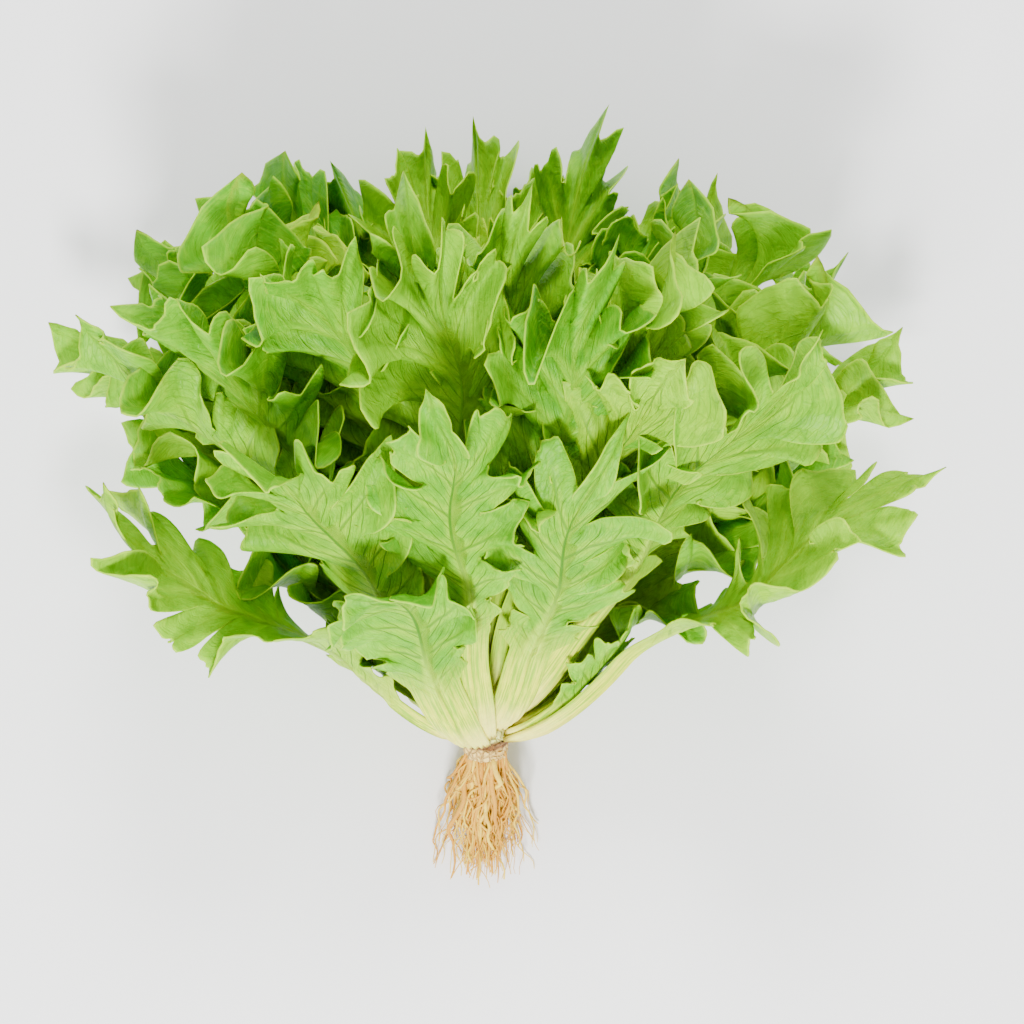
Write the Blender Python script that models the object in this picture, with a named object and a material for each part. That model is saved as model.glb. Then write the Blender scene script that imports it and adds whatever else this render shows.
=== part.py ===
"""Curly endive head with its roots, as pulled, lying on its side.

One short conical stem carries the leaves in a spiral, the oldest lowest and outermost, the youngest at the tip.
Each leaf is a thick narrow stalk that widens into a lobed blade. The fibrous roots spring from the stem's collar.
The head lies with its axis along +Y, tilted up towards the crown, so it is flattened between its own weight and the
surface at z = 0. Lengths in this file are millimetres until they become mesh vertices in metres.
"""

import math

import bpy
import numpy as np
from mathutils import Vector

MM = 0.001

# Driving dimensions, in millimetres and degrees
AXIS_TILT = 18.0  # the head's axis above the surface it lies on
BASE_HEIGHT = 32.0  # the leaf junction above that surface
FLAT = 0.56  # how far the leaves on top open, against those at the sides
STEM_R = 11.3  # the circle the lowest leaves stand on
STEM_TIP_R = 2.0  # the circle the youngest leaves stand on
STEM_TOP = 40.0  # the youngest leaf above the lowest one
LAYER_OUT = 1.40  # the outermost layer
REST_CLEAR = -18.0  # how far the outermost leaf would reach below the surface before it is flattened
COLLAR_R = 8.6
COLLAR_H = 9.0
STALK_T = 1.7  # stalk thickness of the outermost leaf
BLADE_T = 0.9  # blade thickness
LOWEST = 0.6  # middle of a leaf that lies on the surface
CONTACT_SOFT = 3.0  # how gradually the lowest leaves flatten on the surface
GOLDEN = 137.508

TILT = math.radians(AXIS_TILT)


def smooth(x):
    x = np.clip(x, 0.0, 1.0)
    return x * x * (3.0 - 2.0 * x)


def stalk_root(lam):
    """Where a leaf of layer lam leaves the stem: radius and height."""
    q = lam / LAYER_OUT
    return STEM_TIP_R + (STEM_R - STEM_TIP_R) * q**0.9, 1.0 + STEM_TOP * (1.0 - q)


def leaf_angle(lam, s, bend, bend_from, length):
    """The leaf's angle from the head's axis, in degrees, at distance s along it."""
    angle = 2.0 + 36.0 * lam**0.5 + 30.0 * lam * np.exp(-s / 20.0)
    angle = angle + (6.0 + 17.0 * lam**1.3) * smooth((s - 80.0) / 110.0)
    start = bend_from * length
    return angle + bend * smooth((s - start) / max(length - start, 1.0))


class Shell:
    """The surface that a leaf of layer lam lies in."""

    def __init__(self, lam, bend, bend_from, length):
        self.s = np.arange(0.0, 262.0, 2.0)
        self.k = np.linspace(0.1, 1.05, 39)
        angle = np.radians(leaf_angle(lam, self.s, bend, bend_from, length))
        self.r, self.h = [], []
        r0, h0 = stalk_root(lam)
        for k in self.k:
            a = angle * k
            dr, dh = np.sin(a) * 2.0, np.cos(a) * 2.0
            self.r.append(r0 + np.concatenate([[0], np.cumsum((dr[1:] + dr[:-1]) / 2)]))
            self.h.append(h0 + np.concatenate([[0], np.cumsum((dh[1:] + dh[:-1]) / 2)]))
        self.r, self.h = np.array(self.r), np.array(self.h)

    def at(self, s, phi):
        """(x, d, h): right, up from the axis plane, and along the axis."""
        k = (open_share(phi) - self.k[0]) / (self.k[1] - self.k[0])
        k = np.clip(k, 0, len(self.k) - 1.001)
        j = np.clip(s / 2.0, 0, len(self.s) - 1.001)
        k0, j0 = k.astype(int), j.astype(int)
        fk, fj = k - k0, j - j0

        def read(t):
            low = t[k0, j0] * (1 - fj) + t[k0, j0 + 1] * fj
            high = t[k0 + 1, j0] * (1 - fj) + t[k0 + 1, j0 + 1] * fj
            return low * (1 - fk) + high * fk

        r = read(self.r)
        return r * np.sin(phi), r * np.cos(phi), read(self.h)


def lowest_share():
    """For azimuths all round, how far the outermost leaf can open before it meets the surface."""
    shell = Shell(1.3, 0.0, 0.6, 170.0)
    reach = shell.s <= 172.0
    turns = np.radians(np.arange(0.0, 361.0, 5.0))
    found = []
    for phi in turns:
        z = shell.h * math.sin(TILT) + shell.r * math.cos(phi) * math.cos(TILT) + BASE_HEIGHT
        clear = z[:, reach].min(axis=1) > REST_CLEAR
        k = shell.k[clear].max() if clear.any() else shell.k[0]
        found.append(min(k, FLAT + (1.0 - FLAT) * math.sin(phi) ** 2))
    found = np.array(found)
    for _ in range(30):  # evened out so that neighbours open alike
        ring = np.concatenate([found[-2:-1], found, found[1:2]])
        found = np.minimum(found, ring[:-2] * 0.25 + ring[1:-1] * 0.5 + ring[2:] * 0.25)
    return turns, found


def open_share(phi):
    """How far a leaf at azimuth phi opens: 1 is fully."""
    return np.interp(np.mod(phi, 2 * math.pi), *OPENING)


def on_surface(z):
    """A leaf that would reach below the surface lies on it."""
    w = CONTACT_SOFT
    return LOWEST + w * np.logaddexp(0.0, (z - LOWEST) / w)


def settle(x, d, h):
    """The head's own coordinates to where it lies: tilted, a little uneven, and flattened where it meets the surface."""
    far = smooth((h - 10.0) / 90.0)
    wave_x = 2.4 * np.sin(h / 15.0 + d / 21.0 + 0.6)
    wave_d = 2.4 * np.sin(x / 14.0 + h / 24.0 + 2.1)
    wave_h = 2.4 * np.sin(x / 19.0 - d / 15.0 + 1.0)
    x, d, h = x + far * wave_x, d + far * wave_d, h + far * wave_h
    y = h * math.cos(TILT) - d * math.sin(TILT)
    z = h * math.sin(TILT) + d * math.cos(TILT) + BASE_HEIGHT
    return np.stack([x, y, on_surface(z)], axis=-1)


OPENING = lowest_share()

# Leaves, outermost first: name, azimuth (0 is up, 90 right, 180 down), layer, length, blade half-width,
# outward bend of the tip, where along the leaf it starts, twist of the blade about its rib, both in degrees
OUTER = [
    ("leaf_outer_01", -27, 1.40, 124, 28, 66, 0.50, 0),
    ("leaf_outer_02", 70, 1.37, 206, 39, -30, 0.12, 46),
    ("leaf_outer_03", -70, 1.34, 190, 39, -16, 0.12, -46),
    ("leaf_outer_04", -8, 1.31, 192, 38, -4, 0.15, 0),
    ("leaf_outer_05", 66, 1.28, 76, 16, 0, 0.60, 0),
    ("leaf_outer_06", 96, 1.22, 172, 40, 0, 0.60, 0),
    ("leaf_outer_07", -94, 1.22, 174, 40, 0, 0.60, 0),
    ("leaf_outer_08", -42, 1.19, 190, 38, 0, 0.60, 0),
    ("leaf_outer_09", 28, 1.16, 164, 36, 0, 0.60, 0),
    ("leaf_outer_10", 104, 1.13, 214, 40, 0, 0.60, 0),
    ("leaf_outer_11", -102, 1.10, 218, 40, 0, 0.60, 0),
    ("leaf_outer_12", 156, 1.07, 182, 40, 0, 0.60, 0),
    ("leaf_outer_13", 57, 1.04, 216, 38, -9, 0.15, 0),
    ("leaf_outer_14", -154, 1.01, 182, 40, 0, 0.60, 0),
    ("leaf_outer_15", 178, 1.31, 164, 38, 0, 0.60, 0),
    ("leaf_outer_16", 38, 0.94, 200, 36, -9, 0.15, 0),
    ("leaf_outer_17", -72, 0.90, 222, 38, 0, 0.60, 0),
]
INNER_COUNT = 34


def leaves():
    """Every leaf as (name, azimuth, layer, length, half-width, bend, bend_from, twist)."""
    found = list(OUTER)
    for i in range(INNER_COUNT):
        lam = 0.865 - i * (0.835 / (INNER_COUNT - 1))
        phi = (108.0 + GOLDEN * i + 180.0) % 360.0 - 180.0
        length = 124.0 + 92.0 * smooth(lam / 0.46)
        half = 15.0 + 23.0 * smooth(lam / 0.6)
        kind = "mid" if i < 22 else "heart"
        n = i + 1 if i < 22 else i - 21
        found.append((f"leaf_{kind}_{n:02d}", phi, lam, length, half, 0, 0.6, 0))
    return found


def rib_frame(shell, s, phi0):
    """The rib's line with its directions across the leaf and away from the head."""
    line = settle(*shell.at(s, np.full_like(s, phi0)))
    across = settle(*shell.at(s, np.full_like(s, phi0 + 0.02))) - settle(*shell.at(s, np.full_like(s, phi0 - 0.02)))
    along = settle(*shell.at(s + 2.0, np.full_like(s, phi0))) - settle(*shell.at(np.maximum(s - 2.0, 0.0), np.full_like(s, phi0)))
    across /= np.linalg.norm(across, axis=-1, keepdims=True)
    along /= np.linalg.norm(along, axis=-1, keepdims=True)
    out = np.cross(across, along)
    return line, np.cross(along, out), out


def twisted(points, shell, s, across, phi0, length, half, twist):
    """Turns the blade about its rib and moves it outward, so that its inner margin stays where the layer is."""
    ramp = smooth((s / length - 0.30) / 0.34)
    line, side, out = rib_frame(shell, s, phi0)
    turn = math.radians(abs(twist))
    sign = -1.0 if twist > 0 else 1.0
    flat = line + across[..., None] * (math.cos(turn) * side + sign * math.sin(turn) * out)
    flat = flat + out * (half * math.sin(turn) * 0.95)
    flat[..., 2] = on_surface(flat[..., 2])
    return points + (flat - points) * ramp[..., None]


# Along the leaf, as shares of its length, and its half-width there as a share of the blade's
ROWS = [
    (0.0, 0.10), (0.12, 0.10), (0.26, 0.13), (0.38, 0.24), (0.48, 0.56), (0.55, 0.42),
    (0.64, 0.86), (0.71, 0.66), (0.80, 1.0), (0.88, 0.76), (0.95, 0.72), (1.0, 0.30),
]
ACROSS = np.array([-1.0, -0.5, 0.0, 0.5, 1.0])


def leaf_grid(phi, lam, length, half, bend, bend_from, twist):
    """Points of the leaf's middle surface, rows along it and columns across."""
    shell = Shell(lam, bend, bend_from, length)
    phi0 = math.radians(phi)
    rows = np.array([r for r, _ in ROWS]) * length
    share = np.array([w for _, w in ROWS])
    width = np.maximum(share * half, 3.6 + 1.6 * smooth(rows / 40.0) * min(lam, 1.0))
    centre = np.full_like(rows, phi0)
    x, d, _ = shell.at(rows, centre)
    radius = np.maximum(np.hypot(x, d), 6.0)
    turn = width / radius
    turn = np.minimum(turn, math.radians(62.0))
    s = rows[:, None] + np.zeros(len(ACROSS))
    # the blade's corners sweep back from its tip
    s = s - (np.abs(ACROSS) ** 1.5)[None, :] * (width * 0.35)[:, None] * smooth((rows / length - 0.4) / 0.3)[:, None]
    az = centre[:, None] + turn[:, None] * ACROSS[None, :]
    points = settle(*shell.at(s, az))
    if twist:
        across = width[:, None] * ACROSS[None, :]
        points = twisted(points, shell, s, across, phi0, length, half, twist)
    return points


def material(name, rgb, rough):
    made = bpy.data.materials.new(name)
    made.use_nodes = True
    shader = made.node_tree.nodes["Principled BSDF"]
    shader.inputs["Base Color"].default_value = (*rgb, 1.0)
    shader.inputs["Roughness"].default_value = rough
    shader.inputs["Metallic"].default_value = 0.0
    return made


def new_object(name, points, faces, skin, parent):
    mesh = bpy.data.meshes.new(name)
    mesh.from_pydata([tuple(p) for p in points], [], faces)
    mesh.update()
    obj = bpy.data.objects.new(name, mesh)
    bpy.context.scene.collection.objects.link(obj)
    mesh.materials.append(skin)
    mesh.shade_smooth()
    obj.parent = parent
    return obj


def make_leaf(name, grid, lam, skin, parent):
    rows, cols = grid.shape[:2]
    young = 0.28 + 0.58 * min(lam / 1.0, 1.0)  # a young leaf's stalk is thinner
    points = grid.reshape(-1, 3) * MM
    faces = [
        (r * cols + c, r * cols + c + 1, (r + 1) * cols + c + 1, (r + 1) * cols + c)
        for r in range(rows - 1)
        for c in range(cols - 1)
    ]
    obj = new_object(name, points, faces, skin, parent)
    group = obj.vertex_groups.new(name="thickness")
    for r in range(rows):
        share = ROWS[r][0]
        for c in range(cols):
            edge = abs(ACROSS[c])
            stalk = 1.0 - float(smooth((share - 0.2) / 0.35))
            weight = stalk * young + (1.0 - stalk) * (BLADE_T / STALK_T) * (1.0 - 0.25 * edge)
            group.add([r * cols + c], weight, "REPLACE")
    solid = obj.modifiers.new("Solidify", "SOLIDIFY")
    solid.thickness = STALK_T * MM
    solid.offset = 0.0
    solid.use_rim = True
    solid.vertex_group = "thickness"
    return obj


def ring_points(centre, u, v, radii, count):
    turn = np.arange(count) * 2 * math.pi / count
    radii = np.broadcast_to(radii, (count,))
    return centre + (radii * np.cos(turn))[:, None] * u + (radii * np.sin(turn))[:, None] * v


def lofted(name, rings, skin, parent):
    """A closed solid through rings of points, with a fan of faces at each end."""
    count = len(rings[0])
    points = [p for ring in rings for p in ring]
    points += [np.mean(rings[0], axis=0), np.mean(rings[-1], axis=0)]
    faces = []
    for r in range(len(rings) - 1):
        for c in range(count):
            e = (c + 1) % count
            faces.append((r * count + c, r * count + e, (r + 1) * count + e, (r + 1) * count + c))
    first, last = len(points) - 2, len(points) - 1
    base = (len(rings) - 1) * count
    for c in range(count):
        e = (c + 1) % count
        faces.append((first, e, c))
        faces.append((last, base + c, base + e))
    return new_object(name, np.array(points) * MM, faces, skin, parent)


AXIS = np.array([0.0, math.cos(TILT), math.sin(TILT)])
UP = np.array([0.0, -math.sin(TILT), math.cos(TILT)])
SIDE = np.array([1.0, 0.0, 0.0])
JUNCTION = np.array([0.0, 0.0, BASE_HEIGHT])

def stem_rings():
    """The stem's radius and height, from its collar up to the growing tip."""
    rows = [(COLLAR_R * 0.94, -COLLAR_H), (COLLAR_R, -COLLAR_H + 2.0), (COLLAR_R, -3.5), (STEM_R - 1.2, -1.2)]
    for q in (1.0, 0.8, 0.6, 0.4, 0.2, 0.06):
        radius, height = stalk_root(q * LAYER_OUT)
        rows.append((radius - 0.85, height))
    rows.append((0.6, STEM_TOP + 0.2))
    return rows


# Roots: name, where on the collar's face it starts (across, up), length, reach sideways, radii along it
ROOTS = [
    ("root_tuft", (0.0, -0.4), 62.0, -5.0, (5.6, 7.2, 8.4, 8.0, 4.5), 10),
    ("root_left", (-7.4, 3.0), 46.0, -9.4, (1.1, 1.3, 1.1, 0.9, 0.6), 6),
    ("root_left_long", (-7.4, -2.2), 58.0, -22.0, (0.9, 1.1, 1.0, 0.8, 0.5), 6),
    ("root_right", (7.4, 3.0), 48.0, 8.0, (1.1, 1.3, 1.1, 0.9, 0.6), 6),
    ("root_right_long", (7.4, -1.8), 60.0, 21.0, (0.9, 1.1, 1.0, 0.8, 0.5), 6),
]


def root_line(start, length, reach, steps):
    """The line of a root: out along the axis, then drooping to the surface."""
    t = np.linspace(0.0, 1.0, steps)
    across, up = start
    begin = JUNCTION - AXIS * (COLLAR_H + 0.4) + SIDE * across + UP * up
    line = np.zeros((steps, 3))
    line[:, 0] = begin[0] + reach * t**1.3 - across * 0.2 * t
    line[:, 1] = begin[1] - 0.88 * length * t
    return begin, line, t


def make_root(name, start, length, reach, radii, count, skin, parent):
    steps = len(radii) * 2 - 1
    begin, line, t = root_line(start, length, reach, steps)
    size = np.interp(t, np.linspace(0, 1, len(radii)), radii)
    # it droops until it lies on the surface
    low = size[-1] + 0.15
    drop = begin[2] - low
    line[:, 2] = begin[2] - drop * smooth(t * 1.15) ** 0.9
    line[:, 2] = np.maximum(line[:, 2], size + 0.15)
    rings = []
    for i in range(steps):
        along = line[min(i + 1, steps - 1)] - line[max(i - 1, 0)]
        along = along / np.linalg.norm(along)
        if i == 0:
            along = -AXIS
        u = np.cross(along, SIDE)
        u = u / np.linalg.norm(u)
        v = np.cross(along, u)
        rings.append(ring_points(line[i], u, v, size[i], count))
    return lofted(name, rings, skin, parent)


def middle_of_base(head):
    """Where the middle of the whole head's box meets its lowest level."""
    graph = bpy.context.evaluated_depsgraph_get()
    corners = []
    for obj in head.children:
        mesh = obj.evaluated_get(graph).to_mesh()
        found = np.array([v.co for v in mesh.vertices])
        corners += [found.min(axis=0), found.max(axis=0)]
        obj.evaluated_get(graph).to_mesh_clear()
    low, high = np.min(corners, axis=0), np.max(corners, axis=0)
    return Vector(((low[0] + high[0]) / 2, (low[1] + high[1]) / 2, low[2]))


def main():
    for old in list(bpy.data.objects):
        bpy.data.objects.remove(old, do_unlink=True)
    skins = {
        "outer": material("leaf_outer", (0.36, 0.60, 0.10), 0.5),
        "mid": material("leaf_mid", (0.28, 0.55, 0.06), 0.45),
        "heart": material("leaf_heart", (0.52, 0.68, 0.16), 0.45),
        "stem": material("stem", (0.80, 0.82, 0.55), 0.55),
        "root": material("root", (0.72, 0.52, 0.28), 0.75),
    }
    head = bpy.data.objects.new("head", None)
    bpy.context.scene.collection.objects.link(head)
    for row in leaves():
        name, lam = row[0], row[2]
        make_leaf(name, leaf_grid(*row[1:]), lam, skins[name.split("_")[1]], head)
    rings = []
    for radius, height in stem_rings():
        rings.append(ring_points(JUNCTION + AXIS * height, SIDE, UP, radius, 14)[::-1])
    lofted("stem", rings, skins["stem"], head)
    for row in ROOTS:
        make_root(*row, skins["root"], head)
    head.location = -middle_of_base(head)


main()
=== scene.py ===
"""Curly endive head: the leaves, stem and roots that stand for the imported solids, with camera, floor and light.

Lengths in this file are millimetres until they become mesh vertices. The leaf surfaces follow the same layers as the
solids do, so each leaf lies where its solid is.
"""

import math

import bmesh
import bpy
import numpy as np
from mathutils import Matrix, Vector


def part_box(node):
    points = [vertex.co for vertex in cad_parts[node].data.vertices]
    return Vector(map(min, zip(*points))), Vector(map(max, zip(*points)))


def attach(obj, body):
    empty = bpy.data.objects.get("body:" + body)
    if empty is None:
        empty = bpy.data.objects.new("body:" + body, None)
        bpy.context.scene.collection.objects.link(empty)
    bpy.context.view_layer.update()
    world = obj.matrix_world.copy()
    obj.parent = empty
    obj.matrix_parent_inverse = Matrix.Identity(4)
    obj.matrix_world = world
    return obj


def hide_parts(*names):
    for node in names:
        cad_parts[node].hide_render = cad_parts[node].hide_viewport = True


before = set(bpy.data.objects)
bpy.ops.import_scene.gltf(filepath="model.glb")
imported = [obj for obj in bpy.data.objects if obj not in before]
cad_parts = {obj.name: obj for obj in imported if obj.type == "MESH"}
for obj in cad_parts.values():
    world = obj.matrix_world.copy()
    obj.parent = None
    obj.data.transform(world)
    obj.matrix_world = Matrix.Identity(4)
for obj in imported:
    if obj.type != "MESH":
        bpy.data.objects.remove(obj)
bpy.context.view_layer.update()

MM = 0.001

# ---------------------------------------------------------------- layers of the head, as in the solids
# Driving dimensions, in millimetres and degrees
AXIS_TILT = 18.0  # the head's axis above the surface it lies on
BASE_HEIGHT = 32.0  # the leaf junction above that surface
FLAT = 0.56  # how far the leaves on top open, against those at the sides
STEM_R = 11.3  # the circle the lowest leaves stand on
STEM_TIP_R = 2.0  # the circle the youngest leaves stand on
STEM_TOP = 40.0  # the youngest leaf above the lowest one
LAYER_OUT = 1.40  # the outermost layer
REST_CLEAR = -18.0  # how far the outermost leaf would reach below the surface before it is flattened
COLLAR_R = 8.6
COLLAR_H = 9.0
STALK_T = 1.7  # stalk thickness of the outermost leaf
BLADE_T = 0.9  # blade thickness
LOWEST = 0.6  # middle of a leaf that lies on the surface
CONTACT_SOFT = 3.0  # how gradually the lowest leaves flatten on the surface
GOLDEN = 137.508

TILT = math.radians(AXIS_TILT)


AXIS = np.array([0.0, math.cos(TILT), math.sin(TILT)])
UP = np.array([0.0, -math.sin(TILT), math.cos(TILT)])
SIDE = np.array([1.0, 0.0, 0.0])
JUNCTION = np.array([0.0, 0.0, BASE_HEIGHT])


def smooth(x):
    x = np.clip(x, 0.0, 1.0)
    return x * x * (3.0 - 2.0 * x)


def stalk_root(lam):
    """Where a leaf of layer lam leaves the stem: radius and height."""
    q = lam / LAYER_OUT
    return STEM_TIP_R + (STEM_R - STEM_TIP_R) * q**0.9, 1.0 + STEM_TOP * (1.0 - q)


def leaf_angle(lam, s, bend, bend_from, length):
    """The leaf's angle from the head's axis, in degrees, at distance s along it."""
    angle = 2.0 + 36.0 * lam**0.5 + 30.0 * lam * np.exp(-s / 20.0)
    angle = angle + (6.0 + 17.0 * lam**1.3) * smooth((s - 80.0) / 110.0)
    start = bend_from * length
    return angle + bend * smooth((s - start) / max(length - start, 1.0))


class Shell:
    """The surface that a leaf of layer lam lies in."""

    def __init__(self, lam, bend, bend_from, length):
        self.s = np.arange(0.0, 262.0, 2.0)
        self.k = np.linspace(0.1, 1.05, 39)
        angle = np.radians(leaf_angle(lam, self.s, bend, bend_from, length))
        self.r, self.h = [], []
        r0, h0 = stalk_root(lam)
        for k in self.k:
            a = angle * k
            dr, dh = np.sin(a) * 2.0, np.cos(a) * 2.0
            self.r.append(r0 + np.concatenate([[0], np.cumsum((dr[1:] + dr[:-1]) / 2)]))
            self.h.append(h0 + np.concatenate([[0], np.cumsum((dh[1:] + dh[:-1]) / 2)]))
        self.r, self.h = np.array(self.r), np.array(self.h)

    def at(self, s, phi):
        """(x, d, h): right, up from the axis plane, and along the axis."""
        k = (open_share(phi) - self.k[0]) / (self.k[1] - self.k[0])
        k = np.clip(k, 0, len(self.k) - 1.001)
        j = np.clip(s / 2.0, 0, len(self.s) - 1.001)
        k0, j0 = k.astype(int), j.astype(int)
        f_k, fj = k - k0, j - j0

        def read(t):
            low = t[k0, j0] * (1 - fj) + t[k0, j0 + 1] * fj
            high = t[k0 + 1, j0] * (1 - fj) + t[k0 + 1, j0 + 1] * fj
            return low * (1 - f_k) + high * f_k

        r = read(self.r)
        return r * np.sin(phi), r * np.cos(phi), read(self.h)


def lowest_share():
    """For azimuths all round, how far the outermost leaf can open before it meets the surface."""
    shell = Shell(1.3, 0.0, 0.6, 170.0)
    reach = shell.s <= 172.0
    turns = np.radians(np.arange(0.0, 361.0, 5.0))
    found = []
    for phi in turns:
        z = shell.h * math.sin(TILT) + shell.r * math.cos(phi) * math.cos(TILT) + BASE_HEIGHT
        clear = z[:, reach].min(axis=1) > REST_CLEAR
        k = shell.k[clear].max() if clear.any() else shell.k[0]
        found.append(min(k, FLAT + (1.0 - FLAT) * math.sin(phi) ** 2))
    found = np.array(found)
    for _ in range(30):  # evened out so that neighbours open alike
        ring = np.concatenate([found[-2:-1], found, found[1:2]])
        found = np.minimum(found, ring[:-2] * 0.25 + ring[1:-1] * 0.5 + ring[2:] * 0.25)
    return turns, found


def open_share(phi):
    """How far a leaf at azimuth phi opens: 1 is fully."""
    return np.interp(np.mod(phi, 2 * math.pi), *OPENING)


def on_surface(z):
    """A leaf that would reach below the surface lies on it."""
    w = CONTACT_SOFT
    return LOWEST + w * np.logaddexp(0.0, (z - LOWEST) / w)


def settle(x, d, h):
    """The head's own coordinates to where it lies: tilted, a little uneven, and flattened where it meets the surface."""
    far = smooth((h - 10.0) / 90.0)
    wave_x = 2.4 * np.sin(h / 15.0 + d / 21.0 + 0.6)
    wave_d = 2.4 * np.sin(x / 14.0 + h / 24.0 + 2.1)
    wave_h = 2.4 * np.sin(x / 19.0 - d / 15.0 + 1.0)
    x, d, h = x + far * wave_x, d + far * wave_d, h + far * wave_h
    y = h * math.cos(TILT) - d * math.sin(TILT)
    z = h * math.sin(TILT) + d * math.cos(TILT) + BASE_HEIGHT
    return np.stack([x, y, on_surface(z)], axis=-1)


OPENING = lowest_share()

# Leaves, outermost first: name, azimuth (0 is up, 90 right, 180 down), layer, length, blade half-width,
# outward bend of the tip, where along the leaf it starts, twist of the blade about its rib, both in degrees
OUTER = [
    ("leaf_outer_01", -27, 1.40, 124, 28, 66, 0.50, 0),
    ("leaf_outer_02", 70, 1.37, 206, 39, -30, 0.12, 46),
    ("leaf_outer_03", -70, 1.34, 190, 39, -16, 0.12, -46),
    ("leaf_outer_04", -8, 1.31, 192, 38, -4, 0.15, 0),
    ("leaf_outer_05", 66, 1.28, 76, 16, 0, 0.60, 0),
    ("leaf_outer_06", 96, 1.22, 172, 40, 0, 0.60, 0),
    ("leaf_outer_07", -94, 1.22, 174, 40, 0, 0.60, 0),
    ("leaf_outer_08", -42, 1.19, 190, 38, 0, 0.60, 0),
    ("leaf_outer_09", 28, 1.16, 164, 36, 0, 0.60, 0),
    ("leaf_outer_10", 104, 1.13, 214, 40, 0, 0.60, 0),
    ("leaf_outer_11", -102, 1.10, 218, 40, 0, 0.60, 0),
    ("leaf_outer_12", 156, 1.07, 182, 40, 0, 0.60, 0),
    ("leaf_outer_13", 57, 1.04, 216, 38, -9, 0.15, 0),
    ("leaf_outer_14", -154, 1.01, 182, 40, 0, 0.60, 0),
    ("leaf_outer_15", 178, 1.31, 164, 38, 0, 0.60, 0),
    ("leaf_outer_16", 38, 0.94, 200, 36, -9, 0.15, 0),
    ("leaf_outer_17", -72, 0.90, 222, 38, 0, 0.60, 0),
]
INNER_COUNT = 34


def leaves():
    """Every leaf as (name, azimuth, layer, length, half-width, bend, bend_from, twist)."""
    found = list(OUTER)
    for i in range(INNER_COUNT):
        lam = 0.865 - i * (0.835 / (INNER_COUNT - 1))
        phi = (108.0 + GOLDEN * i + 180.0) % 360.0 - 180.0
        length = 124.0 + 92.0 * smooth(lam / 0.46)
        half = 15.0 + 23.0 * smooth(lam / 0.6)
        kind = "mid" if i < 22 else "heart"
        n = i + 1 if i < 22 else i - 21
        found.append((f"leaf_{kind}_{n:02d}", phi, lam, length, half, 0, 0.6, 0))
    return found


def rib_frame(shell, s, phi0):
    """The rib's line with its directions across the leaf and away from the head."""
    line = settle(*shell.at(s, np.full_like(s, phi0)))
    across = settle(*shell.at(s, np.full_like(s, phi0 + 0.02))) - settle(*shell.at(s, np.full_like(s, phi0 - 0.02)))
    along = settle(*shell.at(s + 2.0, np.full_like(s, phi0))) - settle(*shell.at(np.maximum(s - 2.0, 0.0), np.full_like(s, phi0)))
    across /= np.linalg.norm(across, axis=-1, keepdims=True)
    along /= np.linalg.norm(along, axis=-1, keepdims=True)
    out = np.cross(across, along)
    return line, np.cross(along, out), out


def twisted(points, shell, s, across, phi0, length, half, twist):
    """Turns the blade about its rib and moves it outward, so that its inner margin stays where the layer is."""
    ramp = smooth((s / length - 0.30) / 0.34)
    line, side, out = rib_frame(shell, s, phi0)
    turn = math.radians(abs(twist))
    sign = -1.0 if twist > 0 else 1.0
    flat = line + across[..., None] * (math.cos(turn) * side + sign * math.sin(turn) * out)
    flat = flat + out * (half * math.sin(turn) * 0.95)
    flat[..., 2] = on_surface(flat[..., 2])
    return points + (flat - points) * ramp[..., None]


# ---------------------------------------------------------------- the leaf blade, before it is laid in its layer
STALK_ROWS = 14
BLADE_ROWS = 280
COLS = 9  # across each half


def cusp(x):
    """Sharp tips at whole numbers with round bays between them, 1 down to 0."""
    return 1.0 - np.abs(np.sin(math.pi * x))


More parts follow.
